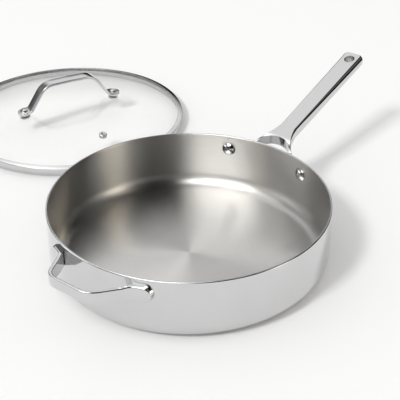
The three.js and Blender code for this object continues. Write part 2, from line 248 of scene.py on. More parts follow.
def softened(outline, radius, closed=False, steps=3):
    """The outline with each inner corner replaced by a small curve."""
    points = [Vector(p) for p in outline]
    made = [] if closed else [points[0]]
    corners = range(len(points)) if closed else range(1, len(points) - 1)
    for i in corners:
        at = points[i]
        before = points[i - 1] - at
        after = points[(i + 1) % len(points)] - at
        trim = min(radius, before.length / 2, after.length / 2)
        made += bend(at + before.normalized() * trim, at, at + after.normalized() * trim, steps)
    if not closed:
        made.append(points[-1])
    return [tuple(p) for p in made]


# Meshes
def join_rings(mesh, first, second):
    """Faces between two rings; a ring of one point makes a fan."""
    count = max(len(first), len(second))
    for i in range(count):
        j = (i + 1) % count
        corners = [
            first[i % len(first)],
            first[j % len(first)],
            second[j % len(second)],
            second[i % len(second)],
        ]
        corners = list(dict.fromkeys(corners))
        if len(corners) > 2:
            mesh.faces.new(corners)


def turned(profile, steps=TURN_STEPS, closed=False):
    """A profile of (radius, height) points turned about +Z."""
    mesh = bmesh.new()
    rings = []
    for radius, height in profile:
        if radius < TOUCH:
            rings.append([mesh.verts.new((0, 0, height))])
            continue
        angles = [2 * math.pi * i / steps for i in range(steps)]
        ring = [(radius * math.cos(a), radius * math.sin(a), height) for a in angles]
        rings.append([mesh.verts.new(p) for p in ring])
    for first, second in zip(rings, rings[1:]):
        join_rings(mesh, first, second)
    if closed:
        join_rings(mesh, rings[-1], rings[0])
    return mesh


def lofted(sections, cap_first=False, cap_last=False):
    """A skin over rings of points with the same count."""
    mesh = bmesh.new()
    rings = [[mesh.verts.new(p) for p in section] for section in sections]
    for first, second in zip(rings, rings[1:]):
        join_rings(mesh, first, second)
    if cap_first:
        mesh.faces.new(rings[0])
    if cap_last:
        mesh.faces.new(rings[-1])
    bmesh.ops.remove_doubles(mesh, verts=mesh.verts, dist=TOUCH)
    return mesh


def mirror_across(mesh, axis):
    """Completes a half mesh; faces that lie in the mirror plane are dropped first."""
    index = "XYZ".index(axis)
    inside = [f for f in mesh.faces if all(abs(v.co[index]) < TOUCH for v in f.verts)]
    bmesh.ops.delete(mesh, geom=inside, context="FACES")
    whole = mesh.verts[:] + mesh.edges[:] + mesh.faces[:]
    bmesh.ops.mirror(mesh, geom=whole, matrix=Matrix(), merge_dist=2 * TOUCH, axis=axis)


def ease_edges(mesh, width):
    """Bevels the edges that are still sharp."""
    bmesh.ops.recalc_face_normals(mesh, faces=mesh.faces)
    inner = [e for e in mesh.edges if len(e.link_faces) == 2]
    edges = [e for e in inner if e.calc_face_angle() > CREASE_ANGLE]
    bmesh.ops.bevel(
        mesh, geom=edges, offset=width, segments=3, profile=0.5, affect="EDGES", clamp_overlap=True
    )


def mark_sharp(mesh):
    """Smooth shading, apart from edges sharper than the limit."""
    for face in mesh.faces:
        face.smooth = True
    for edge in mesh.edges:
        if len(edge.link_faces) == 2:
            edge.smooth = edge.calc_face_angle() < SHARP_ANGLE


def even_shading(made):
    """Lets the large faces decide the shading next to narrow bevels."""
    change = made.modifiers.new("even_shading", "WEIGHTED_NORMAL")
    change.keep_sharp = True


def add_object(name, data):
    made = bpy.data.objects.new(name, data)
    scene.collection.objects.link(made)
    return made


def mesh_data(name, mesh):
    """The finished mesh as Blender data."""
    data = bpy.data.meshes.new(name)
    mesh.to_mesh(data)
    mesh.free()
    return data


def piece(mesh, node, body, look, place=Matrix()):
    """Makes the object that stands for a solid of the frame."""
    bmesh.ops.recalc_face_normals(mesh, faces=mesh.faces)
    mesh.transform(Matrix.Scale(MM, 4) @ place)
    mark_sharp(mesh)
    data = mesh_data(node + "_look", mesh)
    data.materials.append(look)
    made = add_object(node + "_look", data)
    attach(made, body)
    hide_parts(node)
    return made


# Materials
class Nodes:
    """A node tree, with short ways to add and link nodes."""

    def __init__(self, tree):
        self.tree = tree

    def link(self, source, target):
        self.tree.links.new(source, target)

    def node(self, kind, inputs=(), **values):
        """A node with its settings, and its first sockets linked or set."""
        made = self.tree.nodes.new(kind)
        for key, value in values.items():
            setattr(made, key, value)
        for socket, value in zip(made.inputs, inputs):
            if isinstance(value, bpy.types.NodeSocket):
                self.link(value, socket)
            else:
                socket.default_value = value
        return made

    def math(self, operation, *inputs):
        return self.node("ShaderNodeMath", inputs, operation=operation).outputs[0]

    def vector(self, operation, *inputs):
        return self.node("ShaderNodeVectorMath", inputs, operation=operation).outputs

    def dot(self, place, direction):
        return self.vector("DOT_PRODUCT", place, direction)["Value"]

    def fade(self, value, zero_at, one_at):
        """A smooth step between two values."""
        inputs = (value, zero_at, one_at, 0.0, 1.0)
        return self.node("ShaderNodeMapRange", inputs, interpolation_type="SMOOTHSTEP").outputs[0]


class Look(Nodes):
    """A material with one Principled shader, and short ways to add its textures."""

    def __init__(self, name):
        self.material = bpy.data.materials.new(name)
        self.material.use_nodes = True
        super().__init__(self.material.node_tree)
        self.shader = self.tree.nodes["Principled BSDF"]
        self.place = self.node("ShaderNodeTexCoord").outputs["Object"]

    def feed(self, source, socket):
        self.link(source, self.shader.inputs[socket])

    def set(self, **values):
        for key, value in values.items():
            self.shader.inputs[key.replace("_", " ")].default_value = value

    def noise(self, scale, detail=2.0, roughness=0.5, stretch=None):
        """Noise at a scale per metre, stretched along an axis where asked."""
        texture = self.node("ShaderNodeTexNoise")
        texture.inputs["Scale"].default_value = scale
        texture.inputs["Detail"].default_value = detail
        texture.inputs["Roughness"].default_value = roughness
        source = self.place
        if stretch:
            mapping = self.node("ShaderNodeMapping")
            mapping.inputs["Scale"].default_value = stretch
            self.link(self.place, mapping.inputs["Vector"])
            source = mapping.outputs["Vector"]
        self.link(source, texture.inputs["Vector"])
        return texture.outputs["Fac"]

    def ramp(self, factor, stops):
        """Colours by position; a number stands for a grey."""
        made = self.node("ShaderNodeValToRGB")
        elements = made.color_ramp.elements
        while len(elements) < len(stops):
            elements.new(0.5)
        for element, (position, colour) in zip(elements, stops):
            element.position = position
            if isinstance(colour, (int, float)):
                colour = (colour, colour, colour)
            element.color = (*colour, 1)
        self.link(factor, made.inputs["Fac"])
        return made.outputs["Color"]

    def bump(self, height, strength, distance):
        made = self.node("ShaderNodeBump")
        made.inputs["Strength"].default_value = strength
        made.inputs["Distance"].default_value = distance
        self.link(height, made.inputs["Height"])
        self.feed(made.outputs["Normal"], "Normal")


def polished_steel():
    look = Look("polished_steel_look")
    look.set(Metallic=1.0)
    tone = look.noise(scale=35, detail=3)
    steel = look.ramp(tone, [(0.3, (0.625, 0.625, 0.63)), (0.7, (0.645, 0.645, 0.65))])
    look.feed(steel, "Base Color")
    wipe = look.noise(scale=120, detail=4, roughness=0.6, stretch=(1, 1, 4))
    look.feed(look.ramp(wipe, [(0.3, 0.05), (0.75, 0.11)]), "Roughness")
    look.bump(look.noise(scale=900, detail=1), strength=0.02, distance=0.0002)
    return look.material


def spun_lines(look, pitch):
    """Fine rings about the pan's axis, on the floor and up the wall."""
    split = look.node("ShaderNodeSeparateXYZ", (look.place,))
    flat = look.node("ShaderNodeCombineXYZ", (split.outputs["X"], split.outputs["Y"]))
    reach = look.vector("LENGTH", flat.outputs["Vector"])["Value"]
    line = look.node("ShaderNodeCombineXYZ", (reach, split.outputs["Z"]))
    texture = look.node("ShaderNodeTexNoise", noise_dimensions="2D")
    texture.inputs["Scale"].default_value = 1 / pitch
    texture.inputs["Detail"].default_value = 3.0
    look.link(line.outputs["Vector"], texture.inputs["Vector"])
    return texture.outputs["Fac"]


def spun_steel():
    look = Look("spun_steel_look")
    look.set(Metallic=1.0, Anisotropic=0.96, Anisotropic_Rotation=0.25)
    rings = spun_lines(look, pitch=0.0011)
    steel = look.ramp(rings, [(0.3, (0.63, 0.62, 0.605)), (0.7, (0.65, 0.64, 0.625))])
    look.feed(steel, "Base Color")
    gloss = look.ramp(look.noise(scale=60, detail=3), [(0.3, 0.275), (0.7, 0.295)])
    look.feed(gloss, "Roughness")
    around = look.node("ShaderNodeTangent", direction_type="RADIAL", axis="Z")
    look.feed(around.outputs["Tangent"], "Tangent")
    look.bump(rings, strength=0.02, distance=0.0002)
    return look.material


def aluminium():
    look = Look("aluminium_look")
    look.set(Metallic=1.0)
    grain = look.noise(scale=400, detail=3, stretch=(1, 1, 6))
    metal = look.ramp(grain, [(0.3, (0.58, 0.58, 0.59)), (0.7, (0.68, 0.68, 0.69))])
    look.feed(metal, "Base Color")
    look.feed(look.ramp(grain, [(0.3, 0.38), (0.7, 0.5)]), "Roughness")
    return look.material


def clear_glass():
    """Glass that lets light through to what lies under it."""
    look = Look("clear_glass_look")
    look.set(Transmission_Weight=1.0, IOR=1.38)
    tint = look.ramp(look.noise(scale=12), [(0.3, (0.975, 0.975, 0.972)), (0.7, (0.992, 0.992, 0.99))])
    look.feed(tint, "Base Color")
    smear = look.ramp(look.noise(scale=50, detail=4), [(0.45, 0.0), (0.8, 0.04)])
    look.feed(smear, "Roughness")
    shadow = look.node("ShaderNodeLightPath").outputs["Is Shadow Ray"]
    through = look.node("ShaderNodeBsdfTransparent", ((0.99, 0.99, 0.988, 1),))
    mixed = (shadow, look.shader.outputs["BSDF"], through.outputs["BSDF"])
    mix = look.node("ShaderNodeMixShader", mixed)
    look.link(mix.outputs["Shader"], look.tree.nodes["Material Output"].inputs["Surface"])
    return look.material


def grey_silicone():
    look = Look("grey_silicone_look")
    grain = look.noise(scale=700, detail=4)
    rubber = look.ramp(grain, [(0.3, (0.24, 0.245, 0.245)), (0.7, (0.31, 0.315, 0.31))])
    look.feed(rubber, "Base Color")
    look.feed(look.ramp(grain, [(0.3, 0.55), (0.7, 0.7)]), "Roughness")
    look.bump(grain, strength=0.2, distance=0.0002)
    return look.material


POLISHED = polished_steel()
SPUN = spun_steel()
CORE = aluminium()
GLASS = clear_glass()
SILICONE = grey_silicone()


# Pan shell
def rim_height(offset):
    """Height of the rim, ground round across the shell's thickness."""
    return pan_height - rim_crown * (2 * offset / shell_thickness - 1) ** 2


def ply(inside, outside):
    """One layer of the shell between two distances out from the cooking surface."""
    centre = mouth_radius - floor_corner_radius
    height = shell_thickness + floor_corner_radius
    below_rim = pan_height - 2 * rim_crown
    floor_parts = (0.25, 0.5, 0.75)
    across = [outside + (inside - outside) * i / RIM_STEPS for i in range(RIM_STEPS + 1)]
    profile = [(0, shell_thickness - outside)]
    profile += [(centre * part, shell_thickness - outside) for part in floor_parts]
    profile += arc(centre, height, floor_corner_radius + outside, -90, 0, CORNER_STEPS)
    profile.append((mouth_radius + outside, below_rim))
    profile += [(mouth_radius + offset, rim_height(offset)) for offset in across]
    profile.append((mouth_radius + inside, below_rim))
    profile += arc(centre, height, floor_corner_radius + inside, 0, -90, CORNER_STEPS)
    profile += [(centre * part, shell_thickness - inside) for part in reversed(floor_parts)]
    profile.append((0, shell_thickness - inside))
    return turned(profile)


core_inside = inner_ply + bond_gap
core_outside = core_inside + core_ply
outer_inside = core_outside + bond_gap
piece(ply(outer_inside, shell_thickness), "pan_outer_ply", "pan", POLISHED)
piece(ply(core_inside, core_outside), "pan_core_ply", "pan", CORE)
piece(ply(0, inner_ply), "pan_inner_ply", "pan", SPUN)


# Pan rivets
def domed_cap(radius, rise):
    """Radius of the sphere under a domed head, and the angle at the head's edge in degrees."""
    sphere = (radius ** 2 + rise ** 2) / (2 * rise)
    return sphere, math.degrees(math.asin(radius / sphere))


def domed_rivet():
    """A domed head below the shank's start, along +Z from the pan's axis."""
    seat = math.sqrt(mouth_radius ** 2 - rivet_head_radius ** 2) - seat_gap
    tail = foot_face - seat_gap
    cap_radius, cap_angle = domed_cap(rivet_head_radius, rivet_head_height - rivet_edge_height)
    cap_centre = seat - rivet_head_height + cap_radius
    cap = arc(0, cap_centre, cap_radius, -90, -90 + cap_angle, CAP_STEPS)
    edge = [
        cap[-2],
        (rivet_head_radius, seat - rivet_edge_height),
        (rivet_head_radius, seat),
        (rivet_shank_radius, seat),
    ]
    shank = [(rivet_shank_radius, tail), (0, tail)]
    return turned(cap[:-2] + softened(edge, rivet_edge_round) + shank, SMALL_STEPS)


rivet_turn = math.degrees(math.asin(rivet_half_spacing / wall_radius))
rivet_places = {
    "long_handle_rivet_left": rivet_turn,
    "long_handle_rivet_right": -rivet_turn,
    "helper_handle_rivet_left": 180 - rivet_turn,
    "helper_handle_rivet_right": 180 + rivet_turn,
}
for node, azimuth in rivet_places.items():
    out = Matrix.Rotation(math.radians(azimuth), 4, "Z") @ Matrix.Rotation(math.pi / 2, 4, "Y")
    place = Matrix.Translation((0, 0, rivet_height)) @ out
    piece(domed_rivet(), node, "pan", POLISHED, place)


# Pan handles, each lofted over half and mirrored
def section(inner, outer, top, bottom, rounds):
    """Ring round a handle between two plan points; rounds are inner top, outer top, outer bottom
    and inner bottom, and top and bottom give the height at a plan point."""
    span = outer - inner
    width = span.length
    rounds = [min(radius, width * HANDLE_ROUND_SHARE) for radius in rounds]

    def at(along, level, lift=0):
        spot = inner + span * (along / width)
        return (spot.x, spot.y, level(spot) + lift)

    def face(level, start, end):
        """Points across the top or bottom, between its two rounded edges."""
        return [at(start + (end - start) * i / FACE_STEPS, level) for i in range(1, FACE_STEPS)]

    def edge(far, side, level, start, radius):
        """Points round one edge, at the far or near end of the top or bottom."""
        along = width - radius if far else radius
        turn = arc(0, 0, radius, start, start - 90, EDGE_STEPS)
        return [at(along + x, level, y - side * radius) for x, y in turn]

    ring = edge(False, 1, top, 180, rounds[0])
    ring += face(top, rounds[0], width - rounds[1])
    ring += edge(True, 1, top, 90, rounds[1])
    ring += edge(True, -1, bottom, 0, rounds[2])
    ring += face(bottom, width - rounds[2], rounds[3])
    ring += edge(False, -1, bottom, -90, rounds[3])
    return ring


def wall_point(radius, y):
    """Plan point on the +X side of a circle about the pan's axis."""
    return Vector((math.sqrt(radius ** 2 - y ** 2), y))


def curve_height(start, control, end, x):
    """Height at x of a quadratic curve of (x, height) points whose x keeps rising or falling."""
    a = start.x - 2 * control.x + end.x
    b = 2 * (control.x - start.x)
    c = start.x - x
    if abs(a) < TOUCH:
        t = -c / b
    else:
        t = (-b + math.copysign(math.sqrt(b * b - 4 * a * c), b)) / (2 * a)
    return start.y * (1 - t) ** 2 + 2 * control.y * t * (1 - t) + end.y * t ** 2


def round_end(y, reach, radius):
    """How far a foot's edge stays from its full height near its round end."""
    past = min(max(0, y - (reach - radius)), radius)
    return radius - math.sqrt(radius ** 2 - past ** 2)


def grip_top(x):
    return handle_end_height - grip_slope * (handle_end - x)


def long_handle_top(at):
    """The grip's slope, a curve down along the arms and the feet's top."""
    if at.x >= drop_x:
        return grip_top(at.x)
    if at.x > foot_face:
        start = Vector((drop_x, grip_top(drop_x)))
        control = Vector((top_bend_x, grip_top(top_bend_x)))
        return curve_height(start, control, Vector((foot_face, long_foot_top)), at.x)
    return long_foot_top - round_end(at.y, long_foot_reach, long_foot_corner_radius)


def long_handle_bottom(at):
    """The grip's underside, the neck, a curve down along the arms and the feet's bottom."""
    crotch_bottom = grip_top(crotch_x) - crotch_thickness
    neck_bottom = grip_top(neck_x) - grip_thickness
    if at.x >= neck_x:
        return grip_top(at.x) - grip_thickness
    if at.x >= crotch_x:
        part = (at.x - crotch_x) / (neck_x - crotch_x)
        return crotch_bottom + (neck_bottom - crotch_bottom) * part
    if at.x > foot_face:
        start = Vector((foot_face, long_foot_bottom))
        control = Vector((crotch_x - bottom_bend_back, crotch_bottom - bottom_bend_drop))
        return curve_height(start, control, Vector((crotch_x, crotch_bottom)), at.x)
    return long_foot_bottom + round_end(at.y, long_foot_reach, long_foot_corner_radius)


def cubic(points, t):
    """Point on a cubic curve."""
    a, b, c, d = points
    return a * (1 - t) ** 3 + b * 3 * t * (1 - t) ** 2 + c * 3 * t * t * (1 - t) + d * t ** 3


def grown(t, start):
    """0 up to a share of the way, then rising to 1."""
    return max(0, (t - start) / (1 - start))


def long_ring(inner, outer, edge, belly):
    return section(inner, outer, long_handle_top, long_handle_bottom, (0, edge, belly, 0))


def long_foot_rings():
    """From a foot's end to where the arm leaves it."""
    rings = []
    for i in range(FOOT_STEPS):
        part = 1 - math.cos(math.pi / 2 * i / FOOT_STEPS)
        inner = wall_point(handle_seat, long_foot_reach + (arm_inner_y - long_foot_reach) * part)
        outer = wall_point(foot_face, long_foot_reach + (arm_outer_y - long_foot_reach) * part)
        rings.append(long_ring(inner, outer, arm_edge_round, arm_edge_round))
    return rings


def long_arm_rings():
    """Along an arm, from its foot to the crotch inside and the grip's neck outside."""
    outer_foot = wall_point(foot_face, arm_outer_y)
    outer_bend = Vector((crotch_x - outer_bend_back, grip_neck_width / 2 + outer_bend_spread))
    neck = Vector((neck_x, grip_neck_width / 2))
    inner_line = [
        wall_point(handle_seat, arm_inner_y),
        Vector((crotch_x - inner_bend_back, inner_bend_y)),
        Vector((crotch_x, crotch_bend_y)),
        Vector((crotch_x, 0)),
    ]
    rings = []
    for i, outer in enumerate(bend(outer_foot, outer_bend, neck, ARM_STEPS)):
        t = i / ARM_STEPS
        edge = arm_edge_round + (grip_edge_round - arm_edge_round) * grown(t, edge_grows_after)
        belly = arm_edge_round + (grip_belly_round - arm_edge_round) * grown(t, belly_grows_after)
        rings.append(long_ring(cubic(inner_line, t), outer, edge, belly))
    return rings


def long_grip_rings():
    """Along the grip and round the corner at its end."""
    rings = []
    corner_start = handle_end - grip_corner_radius
    for i in range(1, GRIP_STEPS + 1):
        x = neck_x + (corner_start - neck_x) * i / GRIP_STEPS
        part = (x - neck_x) / (handle_end - neck_x)
        half = (grip_neck_width + (grip_end_width - grip_neck_width) * part) / 2
        inner_x = crotch_x + (handle_end - crotch_x) * part
        rings.append(long_ring(Vector((inner_x, 0)), Vector((x, half)), grip_edge_round, grip_belly_round))
    corner_y = grip_end_width / 2 - grip_corner_radius
    for x, y in arc(corner_start, corner_y, grip_corner_radius, 90, 0)[1:]:
        rings.append(long_ring(Vector((x, 0)), Vector((x, y)), grip_edge_round, grip_belly_round))
    return rings


def bored(handle, mesh):
    """Cuts a mesh out of a piece, by a boolean whose result becomes the piece's mesh."""
    mesh.transform(Matrix.Scale(MM, 4))
    cutter = add_object("cutter", mesh_data("cutter", mesh))
    change = handle.modifiers.new("bore", "BOOLEAN")
    change.object = cutter
    change.solver = "EXACT"
    shown = handle.evaluated_get(bpy.context.evaluated_depsgraph_get())
    made = bpy.data.meshes.new_from_object(shown)
    handle.modifiers.clear()
    bpy.data.objects.remove(cutter)
    whole = bmesh.new()
    whole.from_mesh(made)
    ease_edges(whole, long_crease_round * MM)
    mark_sharp(whole)
    whole.to_mesh(made)
    whole.free()
    handle.data = made


def hanging_hole():
    """A cutter that passes through both faces of the grip."""
    profile = [(0, bore_bottom), (hole_radius, bore_bottom), (hole_radius, bore_top), (0, bore_top)]
    mesh = turned(profile, SMALL_STEPS)
    mesh.transform(Matrix.Translation((hole_x, 0, 0)))
    bmesh.ops.recalc_face_normals(mesh, faces=mesh.faces)
    return mesh


long_rings = long_foot_rings() + long_arm_rings() + long_grip_rings()
long_mesh = lofted(long_rings, cap_first=True, cap_last=True)
mirror_across(long_mesh, "Y")
ease_edges(long_mesh, long_crease_round)
long_handle = piece(long_mesh, "long_handle", "pan", POLISHED)
bored(long_handle, hanging_hole())
even_shading(long_handle)


def helper_rise(at):
    """0 at the feet's face and 1 at the front."""
    return max(0, (at.x - foot_face) / (helper_reach - foot_face))


def helper_top_at(at):
    rise = (helper_front_top - helper_foot_top) * helper_rise(at)
    return helper_foot_top + rise - round_end(at.y, helper_foot_reach, helper_foot_radius)


def helper_bottom_at(at):
    low = helper_foot_top - helper_foot_height
    rise = (helper_front_top - helper_front_height - low) * helper_rise(at)
    return low + rise + round_end(at.y, helper_foot_reach, helper_foot_radius)


def path_points(corners, trims, count):
    """Points at even spacing along a line whose inner corners are rounded."""
    line = [corners[0]]
    for before, at, after, trim in zip(corners, corners[1:], corners[2:], trims):
        start = at + (before - at).normalized() * trim
        end = at + (after - at).normalized() * trim
        line += bend(start, at, end, TRIM_STEPS)
    line.append(corners[-1])
    lengths = [0.0]
    for a, b in zip(line, line[1:]):
        lengths.append(lengths[-1] + (b - a).length)
    made = []
    for i in range(count + 1):
        target = lengths[-1] * i / count
        k = next(k for k in range(1, len(line)) if lengths[k] >= target - ROUNDING)
        part = (target - lengths[k - 1]) / max(lengths[k] - lengths[k - 1], ROUNDING)
        made.append(line[k - 1].lerp(line[k], part))
    return made


def line_to_wall(start, along, radius):
    """Where a line from a point meets a circle about the pan's axis."""
    back = -start.dot(along)
    return start + along * (back - math.sqrt(back ** 2 - start.length_squared + radius ** 2))


def helper_corners():
    """Corners of the loop's outer and inner line in plan, from a foot to the middle of the front."""
    flare = Vector((-math.cos(helper_flare), math.sin(helper_flare)))
    inward = Vector((-math.sin(helper_flare), -math.cos(helper_flare)))
    tip = Vector((helper_reach, helper_tip_half_width))
    inner_reach = helper_reach - helper_bar_width
    inner_tip = tip + inward * helper_bar_width
    inner_tip += flare * ((inner_tip.x - inner_reach) / math.cos(helper_flare))
    root = line_to_wall(tip, flare, foot_face)
    inner_root = line_to_wall(inner_tip, flare, handle_seat)
    foot = wall_point(foot_face, helper_foot_middle)
    inner_foot = wall_point(handle_seat, helper_foot_middle)
    outer = [foot, root, tip, Vector((helper_reach, 0))]
    inner = [inner_foot, inner_root, inner_tip, Vector((inner_reach, 0))]
    return outer, inner


def helper_ring(inner, outer, inside):
    """Ring of the loop, whose inner edges can be sharper than its outer ones."""
    rounds = (inside, helper_edge_round, helper_edge_round, inside)
    return section(inner, outer, helper_top_at, helper_bottom_at, rounds)


def helper_rings():
    """From a foot's end along the arm to the middle of the front."""
    rings = []
    for i in range(LOOP_FOOT_STEPS):
        turn = math.pi / 2 * (i + 0.5) / LOOP_FOOT_STEPS
        y = helper_foot_middle + helper_foot_radius * math.cos(turn)
        rings.append(helper_ring(wall_point(handle_seat, y), wall_point(foot_face, y), 0))
    outer_corners, inner_corners = helper_corners()
    outer_line = path_points(outer_corners, [helper_root_trim, helper_outer_trim], LOOP_STEPS)
    inner_line = path_points(inner_corners, [helper_inner_root_trim, helper_inner_trim], LOOP_STEPS)
    for inner, outer in zip(inner_line, outer_line):
        away = (inner.length - handle_seat) / foot_thickness
        rings.append(helper_ring(inner, outer, helper_edge_round * min(1, max(0, away))))
    return rings


helper_mesh = lofted(helper_rings(), cap_first=True)
mirror_across(helper_mesh, "Y")
ease_edges(helper_mesh, helper_crease_round)
half_turn = Matrix.Rotation(math.pi, 4, "Z")
piece(helper_mesh, "helper_handle", "pan", POLISHED, half_turn)

# Lid
band_low, band_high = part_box("lid_rim_band")
lid_middle = (band_low + band_high) / 2 / MM
lid_place = Matrix.Translation((lid_middle.x, lid_middle.y, 0)) @ Matrix.Rotation(lid_turn, 4, "Z")


def dome_height(reach):
    """Height of the glass's upper face."""
    return dome_centre + math.sqrt(dome_radius ** 2 - reach ** 2)


def glass_seat(x, y):
    """Placement on the glass, +Z square to it."""
    reach = math.hypot(x, y)
    lean = math.asin(reach / dome_radius)
    axis = Vector((-y, x, 0)) / reach
    return Matrix.Translation((x, y, dome_height(reach))) @ Matrix.Rotation(lean, 4, axis)


def lid_glass():
    under = dome_radius - glass_thickness
    upper_lean = math.degrees(math.asin(glass_radius / dome_radius))
    under_lean = math.degrees(math.asin(glass_radius / under))
    upper = arc(0, dome_centre, dome_radius, 90, 90 - upper_lean, DOME_STEPS)
    lower = arc(0, dome_centre, under, 90 - under_lean, 90, DOME_STEPS)
    edge = softened([upper[-2], upper[-1], lower[0], lower[1]], glass_edge_round)
    return turned(upper[:-2] + edge + lower[2:])


def lid_rim_band():
    skirt_inner = skirt_outer - band_sheet
    channel = band_radius - band_sheet
    lip = channel - lip_reach
    lip_under = dome_height(lip) + glass_gap
    edge_under = glass_edge_top + glass_gap / 2
    edge_top = edge_under + band_sheet
    outline = [
        (skirt_inner, 0),
        (skirt_outer, 0),
        (skirt_outer, skirt_height),
        (band_radius, skirt_height),
        (band_radius, edge_top),
        (lip, lip_under + band_sheet),
        (lip, lip_under),
        (channel, edge_under),
        (channel, skirt_height + band_sheet),
        (skirt_inner, skirt_height + band_sheet),
    ]
    return turned(softened(outline, band_edge_round, closed=True, steps=5), closed=True)


piece(lid_glass(), "lid_glass", "lid", GLASS, lid_place)
piece(lid_rim_band(), "lid_rim_band", "lid", POLISHED, lid_place)


def strap_line():
    """Middle line of half the strap, as (along, height) points from the crown to the foot's tip."""
    reach = lid_handle_span / 2
    lean = math.asin(reach / dome_radius)
    along = Vector((math.cos(lean), -math.sin(lean)))
    out = Vector((math.sin(lean), math.cos(lean)))
    foot = Vector((reach, dome_height(reach))) + out * (foot_bottom + strap_thickness / 2)
    knee = foot - along * knee_inset
    crown = Vector((0, lid_handle_top - strap_thickness / 2))
    shoulder = Vector((shoulder_half_span, crown.y - lid_handle_crown))
    rise = path_points([crown, shoulder, knee, foot], [shoulder_trim, knee_trim], STRAP_STEPS)
    angles = [TIP_TURN * i / TIP_STEPS for i in range(1, TIP_STEPS + 1)]
    tip = [foot + along * (lid_foot_radius * math.sin(a)) for a in angles]
    return rise + tip, foot


def strap_half_width(at, foot):
    """The strap's half width, which runs into a round foot."""
    away = (at - foot).length
    half = strap_width / 2
    if away >= lid_foot_radius:
        return half
    lobe = math.sqrt(lid_foot_radius ** 2 - away ** 2)
    if at.x > foot.x:
        return lobe
    return (lobe ** lid_foot_blend + half ** lid_foot_blend) ** (1 / lid_foot_blend)


def strap_ring(at, run, half):
    """Rounded section of the strap, square to its run."""
    up = Vector((-run.y, run.x))
    soft = min(strap_edge_round, half * STRAP_ROUND_SHARE)
    flat = half - soft
    thick = max(strap_thickness / 2 - soft, 0)
    ring = []
    for side, level, start in ((-1, 1, 180), (1, 1, 90), (1, -1, 0), (-1, -1, -90)):
        turn = arc(side * flat, level * thick, soft, start, start - 90, STRAP_EDGE_STEPS)
        for across, rise in turn:
            spot = at + up * rise
            ring.append((spot.x, across, spot.y))
    return ring


def lid_strap():
    line, foot = strap_line()
    rings = []
    for i, at in enumerate(line):
        run = Vector((1, 0))
        if i > 0:
            run = (line[min(i + 1, len(line) - 1)] - line[i - 1]).normalized()
        rings.append(strap_ring(at, run, strap_half_width(at, foot)))
    mesh = lofted(rings, cap_last=True)
    mirror_across(mesh, "X")
    return mesh


piece(lid_strap(), "lid_handle", "lid", POLISHED, lid_place)


def lid_rivet():
    """A domed head on the strap's foot, and a flat tail under the glass."""
    cap_radius, cap_angle = domed_cap(lid_head_radius, lid_head_height - lid_head_edge_height)
    cap_centre = head_bottom + lid_head_height - cap_radius
    cap = arc(0, cap_centre, cap_radius, 90 - cap_angle, 90, SMALL_CAP_STEPS)
    tail_top = backing_bottom - stack_gap
    tail_bottom = tail_top - lid_tail_height
    outline = [
        (lid_tail_radius / 2, tail_bottom),
        (lid_tail_radius, tail_bottom),
        (lid_tail_radius, tail_top),
        (lid_shank_radius, tail_top),
        (lid_shank_radius, head_bottom),
        (lid_head_radius, head_bottom),
        cap[0],
        cap[1],
    ]
    profile = [(0, tail_bottom)] + softened(outline, lid_rivet_edge_round) + cap[2:]
    return turned(profile, SMALL_STEPS)


def lid_washer():
    """A spacer between the glass and the strap's foot."""
    top = glass_seat_gap + washer_height
    outline = [
        (washer_bore, glass_seat_gap),
        (washer_radius, glass_seat_gap),
        (washer_radius, top),
        (washer_bore, top),
    ]
    return turned(softened(outline, washer_edge_round, closed=True), SMALL_STEPS, closed=True)


for side, x in (("left", -lid_handle_span / 2), ("right", lid_handle_span / 2)):
    seat = lid_place @ glass_seat(x, 0)
    piece(lid_rivet(), "lid_handle_rivet_" + side, "lid", POLISHED, seat)
    piece(lid_washer(), "lid_handle_washer_" + side, "lid", POLISHED, seat)


def vent_eyelet():
    """A tube under a rolled flange."""
    tube_bottom = -glass_thickness - glass_seat_gap - vent_ring_height
    middle = (vent_flange_radius + vent_bore_radius) / 2
    half = (vent_flange_radius - vent_bore_radius) / 2
    tube = [
        (vent_bore_radius, tube_bottom),
        (vent_tube_radius, tube_bottom),
        (vent_tube_radius, glass_seat_gap),
    ]
    roll = arc(middle, 0, half, 0, 180, CAP_STEPS)
    flange = [(x, glass_seat_gap + y * vent_flange_height / half) for x, y in roll]
    return turned(tube + flange, SMALL_STEPS, closed=True)


vent_x = vent_reach * math.cos(vent_angle)
vent_y = vent_reach * math.sin(vent_angle)
vent_place = lid_place @ glass_seat(vent_x, vent_y)
piece(vent_eyelet(), "vent_eyelet", "lid", POLISHED, vent_place)

# Solids that show as they are, under the glass
for side in ("left", "right"):
    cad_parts["lid_glass_bush_" + side].data.materials[0] = SILICONE
    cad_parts["lid_backing_washer_" + side].data.materials[0] = POLISHED
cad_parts["vent_backing_ring"].data.materials[0] = POLISHED


# Studio, in metres
floor_half = 8
floor_drop = 0.0002
floor_colour = (0.95, 0.95, 0.943, 1)
white = (1, 1, 1, 1)
soft_light = 0.74
shown_light = 1.0
key_direction = Vector((-1.0, 0.08, 1.0)).normalized()
key_distance = 14
key_aim = Vector((0.05, 0.1, 0))
key_size = 2.45
key_power = 810

# Dome that only reflections see; its top is left open by a hair, so that it has no pole
dome_reach = 2.2
dome_top = 89.9
room_light = (0.008, 0.008, 0.009)

